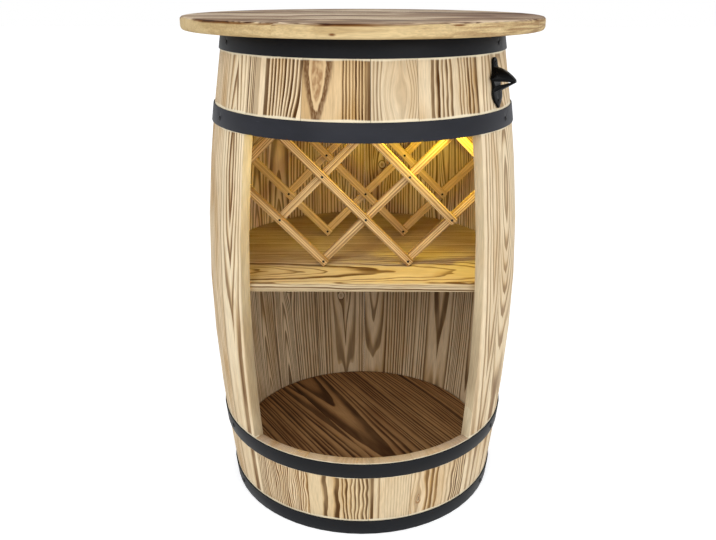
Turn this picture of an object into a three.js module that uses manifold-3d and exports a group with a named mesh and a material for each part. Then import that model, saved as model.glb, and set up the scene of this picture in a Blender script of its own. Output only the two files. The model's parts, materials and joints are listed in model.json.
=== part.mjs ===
// Barrel bar cabinet: a softwood barrel with an open front, a round tabletop, a shelf and bottle racks.
// Millimetres, +Z up. The origin is at the centre of the base and the open front faces -Y.
import * as THREE from 'three';
import { ConvexGeometry } from 'three/addons/geometries/ConvexGeometry.js';
import { mergeVertices } from 'three/addons/utils/BufferGeometryUtils.js';
import Module from 'manifold-3d';

const wasm = await Module();
wasm.setup();

// Fits shared by all pieces
const seatGap = 0.3;             // between pieces that rest on or against each other
const cutOverrun = 3;            // how far a cutting solid runs past what it cuts
const ringSegments = 64;         // facets round a full circle
const weldTolerance = 1e-4;

// Barrel
const barrelHeight = 800;
const bilgeHeight = 386;         // where the barrel is widest
const bilgeRadius = 266;
const baseRadius = 238;
const crownRadius = 223.5;
const flankShare = -0.2;         // how much of the bulge is fourth power, so the flanks stay full
const wallThickness = 17;
const chimeWall = 12;            // wall left at the stave ends, where the inner edge is bevelled
const chimeBevel = 10;
const staveJoint = 0.3;
const facetShare = 1 / 55;       // widest facet on a stave, as a share of the full circle
const staveStep = 100;           // height between the rings of a stave
const staveRingGap = 12;         // rings closer than this to another are left out

// Widths of the staves as shares of the circle, from the left side of the front opening round to the right
const frontStaveShares = [24 / 360, 23.6 / 360, 16.4 / 360, 26 / 360];
const fullStaveShares = [11, 23, 24, 25, 25, 26, 25, 25, 25, 24, 23, 14].map((degrees) => degrees / 360);

// Hoops, from the top
const hoopWidth = 27.5;
const hoopThickness = 1.8;
const topHoopDrop = 0.5;         // below the stave ends
const upperHoopDrop = 111.5;     // below the stave ends, to the hoop over the opening
const lowerHoopHeight = 120.5;   // lower edge of the hoop under the opening
const bottomHoopHeight = 1;
const hoopLap = 44;              // overlap where the strip's ends are riveted
const rivetRadius = 4;
const rivetHeight = 1.6;
const rivetSpacing = 22;
const rivetCrownShare = 0.7;     // flat top of a rivet's head
const openingReveal = 1;         // wood that stands past the hoops at the opening

// Hoop screws
const screwSpread = 63;          // degrees from the front, each side
const screwHeadRadius = 4.2;
const screwHeadHeight = 2.4;
const screwShankRadius = 1.9;
const screwShankLength = 14;
const screwSegments = 10;
const screwDomeShares = [[1, 0], [0.94, 0.45], [0.6, 0.85], [0, 1]]; // out and up, of the head

// Croze groove and bottom head
const floorHeight = 60;
const floorThickness = 20;
const crozeDepth = 5;
const crozeSlope = 4;
const floorEdge = 11;            // thickness of the bevelled rim in the groove
const floorRimSlope = 2.2;
const wallClearance = 1;         // between a board's rim and the wall it is scribed to
const floorBoardWidth = 150;     // middle board
const floorFirstJoint = -41;     // from the axis to the first joint
const floorTurn = 32;            // degrees the boards are turned from front-to-back
const boardJoint = 0.3;

// Tabletop
const topRadius = 286.5;
const topThickness = 19.7;
const topEdgeRadius = 5;
const frontStripWidth = 26.5;    // narrow board at the front edge
const wideTopBoards = 4;         // equal boards behind it
const battenWidth = 45;
const battenHeight = 24;
const battenSpacing = 230;

// Shelf and its cleats
const shelfDrop = 377;           // from the stave ends down to the shelf's upper face
const shelfThickness = 16;
const shelfFront = 165;          // from the axis to the front edge
const shelfCornerRadius = 14;
const shelfEdgeRadius = 4;
const cleatHeight = 28;
const cleatDepth = 20;
const cleatWidth = 90;
const cleatSpread = 97;          // degrees from the front, each side

// Bottle racks
const slatWidth = 13;
const slatThickness = 9;
const crossingSpacing = 70.4;    // across, from a crossing to the next column
const rackSideDistance = 5.5;    // the racks stand this far right of the axis
const frontRackDistance = 90;    // from the axis to the front rack's face
const rackSpacing = 165;         // from the front rack to the rear rack
const railDrop = 80.7;           // from the stave ends down to the middle of the rails
const railHeight = 30;
const railThickness = 18;
const fuseDepth = 0.5;           // slats of the rear rack are let into each other

// Bottle opener, with heights measured from the middle of its plate
const openerSpread = 56.5;       // degrees right of the front
const openerDrop = 71;            // from the stave ends down to the middle of the plate
const plateThickness = 4;
const plateHeight = 74;
const lobeRadius = 7;
const toeRadius = 3;
const wingHalfWidth = 19;
const wingRise = 8;
const waistHalfWidth = 12;
const waistDrop = 5;
const bellyHalfWidth = 22;       // corner that the edge of the lower shield bends towards
const bellyDrop = 20;
const ridgeRise = 23;
const ridgeHalfWidth = 6.5;
const hoodReach = 33;
const hoodTipRise = 1.2;
const hoodTipHalfWidth = 3.5;
const hoodTipThickness = 3.5;
const hoodThickness = 4.5;
const ridgeShares = [[0.34, 0.84], [0.64, 0.57], [0.85, 0.28]]; // out along the hood, up from tip to ridge
const cheekShares = [0.38, 0.84]; // out along the hood, and of the wings' half width
const armDrop = 13;              // height where the arms of the lip leave the plate
const armHalfSpread = 13;
const armWidth = 6;
const armThickness = 8;
const upperScrewInset = 7;
const lowerScrewInset = 11;

// Lamp
const lampSpread = 52;           // degrees right of the front
const lampDrop = 100;            // from the stave ends down to the middle of the lamp
const lampRadius = 26;
const lampThickness = 13;
const lampLensRadius = 20;
const lampLensRise = 2;
const lampSegments = 20;
const lampRimShare = 0.7;        // straight part of the lamp's side
const lensShoulderShare = 0.7;

const wood = { color: 0xd9ba86, roughness: 0.72, metalness: 0 };
const burntWood = { color: 0xb48c58, roughness: 0.75, metalness: 0 };
const topWood = { color: 0xb9a078, roughness: 0.6, metalness: 0 };
const slatWood = { color: 0xdcb878, roughness: 0.7, metalness: 0 };
const hoopPaint = { color: 0x2d2f37, roughness: 0.5, metalness: 0.4 };
const castIron = { color: 0x141417, roughness: 0.45, metalness: 0.6 };
const screwSteel = { color: 0x1d1e22, roughness: 0.4, metalness: 0.8 };
const lampPlastic = { color: 0xf3efe2, roughness: 0.4, metalness: 0 };

const group = new THREE.Group();
group.name = 'barrel_bar_cabinet';

function addPiece(name, geometry, finish) {
  const mesh = new THREE.Mesh(geometry, new THREE.MeshStandardMaterial(finish));
  mesh.name = name;
  group.add(mesh);
  return mesh;
}

// Closed solids for cutting and joining
function toSolid(geometry) {
  const bare = geometry.index ? geometry.toNonIndexed() : geometry.clone();
  bare.deleteAttribute('normal');
  bare.deleteAttribute('uv');
  const merged = mergeVertices(bare, weldTolerance);
  const mesh = new wasm.Mesh({
    numProp: 3,
    vertProperties: new Float32Array(merged.attributes.position.array),
    triVerts: new Uint32Array(merged.index.array),
  });
  return new wasm.Manifold(mesh);
}

function toGeometry(solid) {
  const mesh = solid.getMesh();
  const geometry = new THREE.BufferGeometry();
  geometry.setAttribute('position', new THREE.BufferAttribute(new Float32Array(mesh.vertProperties), 3));
  geometry.setIndex(new THREE.BufferAttribute(new Uint32Array(mesh.triVerts), 1));
  const flat = geometry.toNonIndexed();
  flat.computeVertexNormals();
  return flat;
}

const degree = Math.PI / 180;
const quarterTurn = Math.PI / 2;
const fullTurn = 2 * Math.PI;
const facetHalfAngle = Math.PI / ringSegments;

// Angles are measured from the open front, -Y, and grow towards +X
function polar(radius, angle) {
  return [radius * Math.sin(angle), -radius * Math.cos(angle)];
}

function outerRadius(z) {
  const below = z < bilgeHeight;
  const reach = below ? bilgeHeight : barrelHeight - bilgeHeight;
  const endRadius = below ? baseRadius : crownRadius;
  const share = (z - bilgeHeight) / reach;
  return bilgeRadius - (bilgeRadius - endRadius) * ((1 - flankShare) * share ** 2 + flankShare * share ** 4);
}

const floorMiddle = floorHeight - floorThickness / 2;
const grooveHalf = floorEdge / 2 + seatGap;

// Inner radius of the staves, with the bevelled ends and the groove for the bottom head
function innerRadius(z) {
  const wall = outerRadius(z) - wallThickness;
  const fromEnd = Math.min(z, barrelHeight - z);
  if (fromEnd < chimeBevel) {
    return wall + (wallThickness - chimeWall) * (1 - fromEnd / chimeBevel);
  }
  const fromGroove = Math.abs(z - floorMiddle);
  if (fromGroove <= grooveHalf) {
    return wall + crozeDepth;
  }
  const slopeShare = (fromGroove - grooveHalf) / crozeSlope;
  return slopeShare < 1 ? wall + crozeDepth * (1 - slopeShare) : wall;
}

const widestFacet = fullTurn * facetShare;
const hoopHeights = [
  barrelHeight - topHoopDrop - hoopWidth,
  barrelHeight - upperHoopDrop - hoopWidth,
  lowerHoopHeight,
  bottomHoopHeight,
];
const openingTop = hoopHeights[1] + openingReveal;
const openingBottom = lowerHoopHeight + hoopWidth + openingReveal;

// Heights of a stave's rings between two levels: the bevels and the groove first, then hoop edges and even steps
function staveLevels(low, high) {
  const grooveEdges = [-grooveHalf - crozeSlope, -grooveHalf, grooveHalf, grooveHalf + crozeSlope];
  const kept = [low, high];
  for (const z of [chimeBevel, barrelHeight - chimeBevel, ...grooveEdges.map((offset) => floorMiddle + offset)]) {
    if (z > low && z < high) {
      kept.push(z);
    }
  }
  const extra = hoopHeights.flatMap((z) => [z, z + hoopWidth]);
  const steps = Math.round(barrelHeight / staveStep);
  for (let i = 1; i < steps; i += 1) {
    extra.push((barrelHeight * i) / steps);
  }
  for (const z of extra) {
    if (z > low && z < high && kept.every((other) => Math.abs(z - other) > staveRingGap)) {
      kept.push(z);
    }
  }
  return kept.sort((a, b) => a - b);
}

// Inner radius that clears every facet of the wall, for pieces that stand inside the barrel
const wallLevels = staveLevels(0, barrelHeight);
function roomRadius(z) {
  const upper = Math.max(1, wallLevels.findIndex((level) => level >= z));
  const [low, high] = [wallLevels[upper - 1], wallLevels[upper]];
  const share = (z - low) / (high - low);
  return (innerRadius(low) * (1 - share) + innerRadius(high) * share) * Math.cos(widestFacet / 2);
}

// A stave is a bulged board with radial side faces, between two angles and two heights
function staveGeometry(startAngle, endAngle, low, high) {
  const levels = staveLevels(low, high);
  const facets = Math.max(2, Math.ceil((endAngle - startAngle) / widestFacet - 1e-6));
  const points = [];
  const corner = (radius, angle, z, side) => {
    const [x, y] = polar(radius, angle);
    const shift = (side * staveJoint) / 2;
    points.push(x - shift * Math.cos(angle), y - shift * Math.sin(angle), z);
  };
  for (const z of levels) {
    for (const inner of [false, true]) {
      const radius = inner ? innerRadius(z) : outerRadius(z);
      for (let i = 0; i <= facets; i += 1) {
        const step = inner ? facets - i : i;
        const side = step === 0 ? -1 : step === facets ? 1 : 0;
        corner(radius, startAngle + ((endAngle - startAngle) * step) / facets, z, side);
      }
    }
  }
  const ring = 2 * (facets + 1);
  const index = [];
  for (let level = 0; level + 1 < levels.length; level += 1) {
    for (let i = 0; i < ring; i += 1) {
      const a = level * ring + i;
      const b = level * ring + ((i + 1) % ring);
      index.push(a, b, b + ring, a, b + ring, a + ring);
    }
  }
  const last = (levels.length - 1) * ring;
  for (let i = 0; i < facets; i += 1) {
    const outer = i;
    const inner = ring - 1 - i;
    index.push(outer, inner, inner - 1, outer, inner - 1, outer + 1);
    index.push(last + outer, last + inner - 1, last + inner, last + outer, last + outer + 1, last + inner - 1);
  }
  const geometry = new THREE.BufferGeometry();
  geometry.setAttribute('position', new THREE.BufferAttribute(new Float32Array(points), 3));
  geometry.setIndex(index);
  return geometry;
}

// A closed ring from a profile of [radius, height] pairs
function ringGeometry(profile, segments = ringSegments) {
  const closed = [...profile, profile[0]].map(([radius, z]) => new THREE.Vector2(radius, z));
  const geometry = new THREE.LatheGeometry(closed, segments);
  geometry.rotateX(quarterTurn);
  return geometry;
}

// A disc or turned solid from a profile that starts and ends on the axis
function turnedGeometry(profile, segments = ringSegments) {
  const points = profile.map(([radius, z]) => new THREE.Vector2(radius, z));
  const geometry = new THREE.LatheGeometry(points, segments);
  geometry.rotateX(quarterTurn);
  return geometry;
}

function boxSolid(low, high, turn = 0) {
  const size = high.map((value, axis) => value - low[axis]);
  const geometry = new THREE.BoxGeometry(...size);
  geometry.translate(...low.map((value, axis) => value + size[axis] / 2));
  geometry.rotateZ(turn);
  return toSolid(geometry);
}

// The turned frame of a piece fixed to the outside of the wall: Z out of the wall, Y up along it
function wallFrame(angle, z, radius, lean = 0) {
  const [outX, outY] = polar(1, angle);
  const up = new THREE.Vector3(outX * lean, outY * lean, 1).normalize();
  const across = new THREE.Vector3(-outY, outX, 0);
  const out = new THREE.Vector3().crossVectors(across, up);
  const [x, y] = polar(radius, angle);
  return new THREE.Matrix4().makeBasis(across, up, out).setPosition(x, y, z);
}

// Slope of the outer wall at a height: change of radius per height
function wallLean(z) {
  return (outerRadius(z + hoopWidth / 2) - outerRadius(z - hoopWidth / 2)) / hoopWidth;
}

// Hoops: flat steel strip bent to the cone of the wall, its ends lapped and riveted at the back
const hoopClear = 1 / Math.cos(facetHalfAngle);
const hoopNames = ['hoop_top', 'hoop_upper', 'hoop_lower', 'hoop_bottom'];

function hoopInner(z) {
  return (outerRadius(z) + seatGap) * hoopClear;
}

function hoopScrewFrame(z, angle) {
  const middle = z + hoopWidth / 2;
  const facetFace = hoopInner(middle) * Math.cos(facetHalfAngle) + hoopThickness;
  return wallFrame(angle, middle, facetFace, wallLean(middle));
}

const screwAngles = { left: -screwSpread * degree, right: screwSpread * degree };

function screwHole(frame) {
  const reach = screwShankLength + cutOverrun;
  const hole = new THREE.CylinderGeometry(
    screwShankRadius + seatGap, screwShankRadius + seatGap, reach + cutOverrun, screwSegments);
  hole.rotateX(quarterTurn);
  hole.translate(0, 0, (cutOverrun - reach) / 2);
  hole.applyMatrix4(frame);
  return toSolid(hole);
}

function screwGeometry(frame) {
  const profile = [
    [0, -screwShankLength],
    [screwShankRadius, -screwShankLength + screwShankRadius],
    [screwShankRadius, seatGap],
    ...screwDomeShares.map(([out, up]) => [screwHeadRadius * out, seatGap + screwHeadHeight * up]),
  ];
  const geometry = turnedGeometry(profile, screwSegments);
  geometry.applyMatrix4(frame);
  return geometry;
}

const hoopScrewHoles = [];
hoopHeights.forEach((low, index) => {
  const high = low + hoopWidth;
  const bottom = hoopInner(low);
  const top = hoopInner(high);
  let hoop = toSolid(ringGeometry([
    [bottom, low], [bottom + hoopThickness, low], [top + hoopThickness, high], [top, high],
  ]));
  const lapHalf = hoopLap / 2 / bilgeRadius;
  const lap = toSolid(ringGeometry([
    [bottom + hoopThickness - fuseDepth, low],
    [bottom + 2 * hoopThickness, low],
    [top + 2 * hoopThickness, high],
    [top + hoopThickness - fuseDepth, high],
  ]));
  const lapReach = bilgeRadius + topRadius;
  const wedgePoints = [];
  for (const z of [low - cutOverrun, high + cutOverrun]) {
    wedgePoints.push(new THREE.Vector3(0, 0, z));
    for (const side of [-1, 1]) {
      const [x, y] = polar(lapReach, Math.PI + side * lapHalf);
      wedgePoints.push(new THREE.Vector3(x, y, z));
    }
  }
  hoop = hoop.add(lap.intersect(toSolid(new ConvexGeometry(wedgePoints))));
  const middle = low + hoopWidth / 2;
  for (const side of [-1, 1]) {
    const angle = Math.PI + (side * rivetSpacing) / 2 / bilgeRadius;
    const face = hoopInner(middle) + 2 * hoopThickness - fuseDepth;
    const rivet = turnedGeometry([
      [0, -hoopThickness + fuseDepth], [rivetRadius, -hoopThickness + fuseDepth],
      [rivetRadius, fuseDepth], [rivetRadius * rivetCrownShare, rivetHeight], [0, rivetHeight + fuseDepth],
    ], screwSegments);
    rivet.applyMatrix4(wallFrame(angle, middle, face, wallLean(middle)));
    hoop = hoop.add(toSolid(rivet));
  }
  for (const [side, angle] of Object.entries(screwAngles)) {
    const frame = hoopScrewFrame(low, angle);
    const hole = screwHole(frame);
    hoopScrewHoles.push(hole);
    hoop = hoop.subtract(hole);
    const screw = screwGeometry(frame);
    addPiece(`${hoopNames[index]}_screw_${side}`, screw, screwSteel);
  }
  addPiece(hoopNames[index], toGeometry(hoop), hoopPaint);
});

// Bottle opener: one casting, a shield-shaped plate with a hood and a hooked lip below it
const openerAngle = openerSpread * degree;
const openerHeight = barrelHeight - openerDrop;
const openerFace = outerRadius(openerHeight) + seatGap;
const openerFrame = wallFrame(openerAngle, openerHeight, openerFace, wallLean(openerHeight));
const screwOffsets = [plateHeight / 2 - upperScrewInset, -plateHeight / 2 + lowerScrewInset];

function openerScrewFrame(offset) {
  const shift = new THREE.Matrix4().makeTranslation(0, offset, plateThickness);
  return openerFrame.clone().multiply(shift);
}

function hullOf(points) {
  return toSolid(new ConvexGeometry(points.map((p) => new THREE.Vector3(...p))));
}

// The plate: a round lobe above, two wings, a waist, and a shield below that narrows to the toe
function openerPlate() {
  const top = plateHeight / 2 - lobeRadius;
  const toe = toeRadius - plateHeight / 2;
  const outline = new THREE.Shape();
  outline.moveTo(lobeRadius, top);
  outline.quadraticCurveTo(lobeRadius, wingRise, wingHalfWidth, wingRise);
  outline.quadraticCurveTo(waistHalfWidth, wingRise, waistHalfWidth, -waistDrop);
  outline.quadraticCurveTo(bellyHalfWidth, -bellyDrop, toeRadius, toe);
  outline.absarc(0, toe, toeRadius, 0, -Math.PI, true);
  outline.quadraticCurveTo(-bellyHalfWidth, -bellyDrop, -waistHalfWidth, -waistDrop);
  outline.quadraticCurveTo(-waistHalfWidth, wingRise, -wingHalfWidth, wingRise);
  outline.quadraticCurveTo(-lobeRadius, wingRise, -lobeRadius, top);
  outline.absarc(0, top, lobeRadius, Math.PI, 0, true);
  return toSolid(new THREE.ExtrudeGeometry(outline, {
    depth: plateThickness, bevelEnabled: false, curveSegments: 5,
  }));
}

// The hood bulges and droops to a blunt tip, and two arms come back from the tip to the plate
function openerSolid() {
  const root = plateThickness - fuseDepth;
  const tipFoot = hoodTipRise - hoodTipThickness;
  const ridge = ridgeShares.map(([out, up]) => [
    ridgeHalfWidth + (hoodTipHalfWidth - ridgeHalfWidth) * out,
    hoodTipRise + (ridgeRise - hoodTipRise) * up,
    hoodReach * out,
  ]);
  const [cheekOut, cheekWide] = cheekShares;
  const profile = [
    [ridgeHalfWidth, ridgeRise, root],
    ...ridge,
    [hoodTipHalfWidth, hoodTipRise, hoodReach],
    [hoodTipHalfWidth, tipFoot, hoodReach],
    [wingHalfWidth * cheekWide, wingRise, hoodReach * cheekOut],
    [wingHalfWidth, wingRise, root],
    [wingHalfWidth, wingRise - hoodThickness, root],
  ];
  const hood = hullOf([-1, 1].flatMap((side) => profile.map(([across, up, out]) => [side * across, up, out])));
  const arms = [-1, 1].map((side) => hullOf([
    [side * armHalfSpread, -armDrop, root], [side * (armHalfSpread - armWidth), -armDrop, root],
    [side * armHalfSpread, armThickness - armDrop, root],
    [side * (armHalfSpread - armWidth), armThickness - armDrop, root],
    [side * hoodTipHalfWidth, tipFoot + fuseDepth, hoodReach], [0, tipFoot + fuseDepth, hoodReach],
    [side * hoodTipHalfWidth, tipFoot + fuseDepth, hoodReach - armThickness],
    [0, tipFoot + fuseDepth, hoodReach - armThickness],
    [side * hoodTipHalfWidth, tipFoot - fuseDepth, hoodReach], [0, tipFoot - fuseDepth, hoodReach],
  ]));
  let solid = openerPlate().add(hood).add(arms[0]).add(arms[1]);
  for (const offset of screwOffsets) {
    solid = solid.subtract(screwHole(new THREE.Matrix4().makeTranslation(0, offset, plateThickness)));
  }
  const geometry = toGeometry(solid);
  geometry.applyMatrix4(openerFrame);
  return geometry;
}

addPiece('bottle_opener', openerSolid(), castIron);
const openerScrewHoles = screwOffsets.map((offset, index) => {
  const frame = openerScrewFrame(offset);
  addPiece(`opener_screw_${index === 0 ? 'upper' : 'lower'}`,
    screwGeometry(frame), screwSteel);
  return screwHole(frame);
});

// Staves: four short pairs above and below the opening, and the full staves round the rest
const shareTotal = [...frontStaveShares, ...fullStaveShares].reduce((sum, share) => sum + share, 0);
const openingTurn = (fullTurn * frontStaveShares.reduce((sum, share) => sum + share, 0)) / shareTotal;
let staveAngle = -openingTurn / 2;

function addStave(name, start, end, low, high) {
  let solid = toSolid(staveGeometry(start, end, low, high));
  for (const hole of [...hoopScrewHoles, ...openerScrewHoles]) {
    solid = solid.subtract(hole);
  }
  addPiece(name, toGeometry(solid), wood);
}

frontStaveShares.forEach((share, index) => {
  const end = staveAngle + (fullTurn * share) / shareTotal;
  addStave(`stave_front_upper_${index + 1}`, staveAngle, end, openingTop, barrelHeight);
  addStave(`stave_front_lower_${index + 1}`, staveAngle, end, 0, openingBottom);
  staveAngle = end;
});
fullStaveShares.forEach((share, index) => {
  const end = staveAngle + (fullTurn * share) / shareTotal;
  addStave(`stave_${String(index + 1).padStart(2, '0')}`, staveAngle, end, 0, barrelHeight);
  staveAngle = end;
});

// Bottom head: boards with a bevelled rim that sits in the croze groove
const grooveRim = roomRadius(floorMiddle) - wallClearance;
const floorLow = floorHeight - floorThickness;
const floorRim = roomRadius(floorHeight) - wallClearance;
const floorDisc = toSolid(turnedGeometry([
  [0, floorLow],
  [roomRadius(floorLow) - wallClearance, floorLow],
  [roomRadius(floorLow) - wallClearance, floorMiddle - floorEdge / 2 - floorRimSlope],
  [grooveRim, floorMiddle - floorEdge / 2 + seatGap],
  [grooveRim, floorMiddle + floorEdge / 2 - seatGap],
  [floorRim, floorMiddle + floorEdge / 2 + floorRimSlope],
  [floorRim, floorHeight],
  [0, floorHeight],
]));
const floorReach = grooveRim + cutOverrun;
const floorNames = ['floor_board_left', 'floor_board_middle', 'floor_board_right'];
const floorEdges = [-floorReach, floorFirstJoint, floorFirstJoint + floorBoardWidth, floorReach];
floorNames.forEach((name, index) => {
  const slab = boxSolid(
    [floorEdges[index] + boardJoint / 2, -floorReach, floorLow - cutOverrun],
    [floorEdges[index + 1] - boardJoint / 2, floorReach, floorHeight + cutOverrun],
    floorTurn * degree);
  addPiece(name, toGeometry(floorDisc.intersect(slab)), burntWood);
});

// Tabletop: boards that run left to right, with a rounded rim, held flat by two battens
const topLow = barrelHeight + seatGap;
const topHigh = topLow + topThickness;
const rimSteps = 3;
const topProfile = [[0, topLow]];
for (const [centreZ, start] of [[topLow + topEdgeRadius, -quarterTurn], [topHigh - topEdgeRadius, 0]]) {
  for (let i = 0; i <= rimSteps; i += 1) {
    const turn = start + (quarterTurn * i) / rimSteps;
    topProfile.push([
      topRadius - topEdgeRadius + topEdgeRadius * Math.cos(turn),
      centreZ + topEdgeRadius * Math.sin(turn),
    ]);
  }
}
topProfile.push([0, topHigh]);
const topDisc = toSolid(turnedGeometry(topProfile));
const topReach = topRadius + cutOverrun;
const topBoardWidth = (2 * topRadius - frontStripWidth) / wideTopBoards;
const topEdges = [-topReach];
for (let i = 0; i < wideTopBoards; i += 1) {
  topEdges.push(frontStripWidth - topRadius + i * topBoardWidth);
}
topEdges.push(topReach);
for (let i = 0; i + 1 < topEdges.length; i += 1) {
  const slab = boxSolid(
    [-topReach, topEdges[i] + boardJoint / 2, topLow - cutOverrun],
    [topReach, topEdges[i + 1] - boardJoint / 2, topHigh + cutOverrun]);
  addPiece(`top_board_${i + 1}`, toGeometry(topDisc.intersect(slab)), topWood);
}

// The clear room inside the wall between two heights, that boards and slats are scribed to
function roomSolid(low, high, clearance) {
  const levels = [low, ...wallLevels.filter((z) => z > low && z < high), high];
  const profile = [[0, low], ...levels.map((z) => [roomRadius(z) - clearance, z]), [0, high]];
  return toSolid(turnedGeometry(profile));
}

const battenHigh = topLow - seatGap;
const battenLow = battenHigh - battenHeight;
const battenRoom = roomSolid(battenLow, battenHigh, wallClearance);
for (const [side, sign] of [['left', -1], ['right', 1]]) {
  const centre = (sign * battenSpacing) / 2;
  const bar = boxSolid(
    [centre - battenWidth / 2, -crownRadius, battenLow],
    [centre + battenWidth / 2, crownRadius, battenHigh]);
  addPiece(`top_batten_${side}`, toGeometry(battenRoom.intersect(bar)), burntWood);
}

// Shelf: scribed to the wall at the back, straight at the front with rounded corners and edges
const shelfHeight = barrelHeight - shelfDrop;
const shelfLow = shelfHeight - shelfThickness;
const shelfRadius = Math.min(roomRadius(shelfLow), roomRadius(shelfHeight)) - wallClearance;

const shelfArcSteps = 34;
const shelfCornerSteps = 4;
const shelfEdgeSteps = 2;

function arcPoints(centreX, centreY, radius, start, end, steps) {
  const points = [];
  for (let i = 0; i <= steps; i += 1) {
    const turn = start + ((end - start) * i) / steps;
    points.push([centreX + radius * Math.cos(turn), centreY + radius * Math.sin(turn)]);
  }
  return points;
}

// The shelf seen from above, drawn in from its widest line by an inset
function shelfOutline(inset) {
  const centreY = shelfCornerRadius - shelfFront;
  const centreX = Math.sqrt((shelfRadius - shelfCornerRadius) ** 2 - centreY ** 2);
  const cornerTurn = Math.atan2(centreY, centreX);
  const corner = shelfCornerRadius - inset;
  return [
    ...arcPoints(centreX, centreY, corner, -quarterTurn, cornerTurn, shelfCornerSteps),
    ...arcPoints(0, 0, shelfRadius - inset, cornerTurn, Math.PI - cornerTurn, shelfArcSteps).slice(1, -1),
    ...arcPoints(-centreX, centreY, corner, Math.PI - cornerTurn, Math.PI + quarterTurn, shelfCornerSteps),
  ];
}

function shelfGeometry() {
  const rings = [];
  for (const [z, start] of [[shelfLow + shelfEdgeRadius, -quarterTurn], [shelfHeight - shelfEdgeRadius, 0]]) {
    for (let i = 0; i <= shelfEdgeSteps; i += 1) {
      const turn = start + (quarterTurn * i) / shelfEdgeSteps;
      rings.push([shelfEdgeRadius * (1 - Math.cos(turn)), z + shelfEdgeRadius * Math.sin(turn)]);
    }
  }
  const outlines = rings.map(([inset]) => shelfOutline(inset));
  const count = outlines[0].length;
  const positions = rings.flatMap(([, z], level) => outlines[level].flatMap(([x, y]) => [x, y, z]));
  const index = [];
  for (let level = 0; level + 1 < rings.length; level += 1) {
    for (let i = 0; i < count; i += 1) {
      const a = level * count + i;
      const b = level * count + ((i + 1) % count);
      index.push(a, b, b + count, a, b + count, a + count);
    }
  }
  const last = (rings.length - 1) * count;
  const flatOutline = (level) => outlines[level].map(([x, y]) => new THREE.Vector2(x, y));
  for (const [a, b, c] of THREE.ShapeUtils.triangulateShape(flatOutline(0), [])) {
    index.push(a, c, b);
  }
  for (const [a, b, c] of THREE.ShapeUtils.triangulateShape(flatOutline(rings.length - 1), [])) {
    index.push(last + a, last + b, last + c);
  }
  const geometry = new THREE.BufferGeometry();
  geometry.setAttribute('position', new THREE.BufferAttribute(new Float32Array(positions), 3));
  geometry.setIndex(index);
  return geometry;
}

addPiece('shelf', shelfGeometry(), wood);

// Cleats: short blocks scribed to the wall that carry the shelf
const cleatHigh = shelfLow - seatGap;
const cleatLow = cleatHigh - cleatHeight;
const cleatRoom = roomSolid(cleatLow, cleatHigh, seatGap);
const cleatRadius = roomRadius(cleatHigh);
const cleatAngles = { left: -cleatSpread * degree, right: cleatSpread * degree, back: Math.PI };
for (const [side, angle] of Object.entries(cleatAngles)) {
  const block = new THREE.BoxGeometry(cleatWidth, cleatHeight, cleatDepth + cutOverrun);
  block.translate(0, 0, -cleatDepth + (cleatDepth + cutOverrun) / 2);
  block.applyMatrix4(wallFrame(angle, cleatLow + cleatHeight / 2, cleatRadius));
  addPiece(`shelf_cleat_${side}`, toGeometry(cleatRoom.intersect(toSolid(block))), burntWood);
}

// Bottle racks: slats in two layers, crossing in a diamond grid that stands on the shelf
// Each slat runs between two crossings, in shares of the column and row spacings, with row -1 on the shelf
const fallingSlatShares = [[[-1, -1], [-3, 1]], [[1, -1], [-3, 3]], [[2, 0], [-1, 3]], [[3, 1], [1, 3]]];
const risingSlatShares = [[[1, -1], [3, 1]], [[-1, -1], [3, 3]], [[-2, 0], [1, 3]], [[-3, 1], [-1, 3]]];
const topRow = Math.max(...fallingSlatShares.flat().map(([, row]) => row));
const railMiddle = barrelHeight - railDrop;
const firstRow = shelfHeight + seatGap + slatWidth / Math.SQRT2;
const rowSpacing = (railMiddle - firstRow) / (topRow + 1);
const rowHeight = (row) => firstRow + rowSpacing * (row + 1);
const columnPlace = (column) => rackSideDistance + crossingSpacing * column;
const rackRoom = roomSolid(shelfHeight + seatGap, railMiddle + railHeight / 2, seatGap);

function slatSolid([lowEnd, highEnd], front, back) {
  const start = [columnPlace(lowEnd[0]), rowHeight(lowEnd[1])];
  const end = [columnPlace(highEnd[0]), rowHeight(highEnd[1])];
  const run = Math.hypot(end[0] - start[0], end[1] - start[1]);
  const box = new THREE.BoxGeometry(run + slatWidth, back - front, slatWidth);
  box.rotateY(-Math.atan2(end[1] - start[1], end[0] - start[0]));
  box.translate((start[0] + end[0]) / 2, (front + back) / 2, (start[1] + end[1]) / 2);
  return rackRoom.intersect(toSolid(box));
}

function railSolid(front) {
  const bar = boxSolid(
    [-bilgeRadius, front, railMiddle - railHeight / 2],
    [bilgeRadius, front + railThickness, railMiddle + railHeight / 2]);
  return rackRoom.intersect(bar);
}

const fallingFront = -frontRackDistance;
const risingFront = fallingFront + slatThickness + seatGap;
fallingSlatShares.forEach((slat, index) => {
  const solid = slatSolid(slat, fallingFront, fallingFront + slatThickness);
  addPiece(`rack_slat_falling_${index + 1}`, toGeometry(solid), slatWood);
});
risingSlatShares.forEach((slat, index) => {
  const solid = slatSolid(slat, risingFront, risingFront + slatThickness);
  addPiece(`rack_slat_rising_${index + 1}`, toGeometry(solid), slatWood);
});
addPiece('rack_top_rail', toGeometry(railSolid(risingFront + slatThickness + seatGap)), burntWood);

const rearFront = fallingFront + rackSpacing;
const rearMiddle = rearFront + slatThickness - fuseDepth;
let rearRack = railSolid(rearMiddle + slatThickness - fuseDepth);
for (const slat of fallingSlatShares) {
  rearRack = rearRack.add(slatSolid(slat, rearFront, rearFront + slatThickness));
}
for (const slat of risingSlatShares) {
  rearRack = rearRack.add(slatSolid(slat, rearMiddle, rearMiddle + slatThickness));
}
addPiece('rear_rack', toGeometry(rearRack), slatWood);

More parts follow.
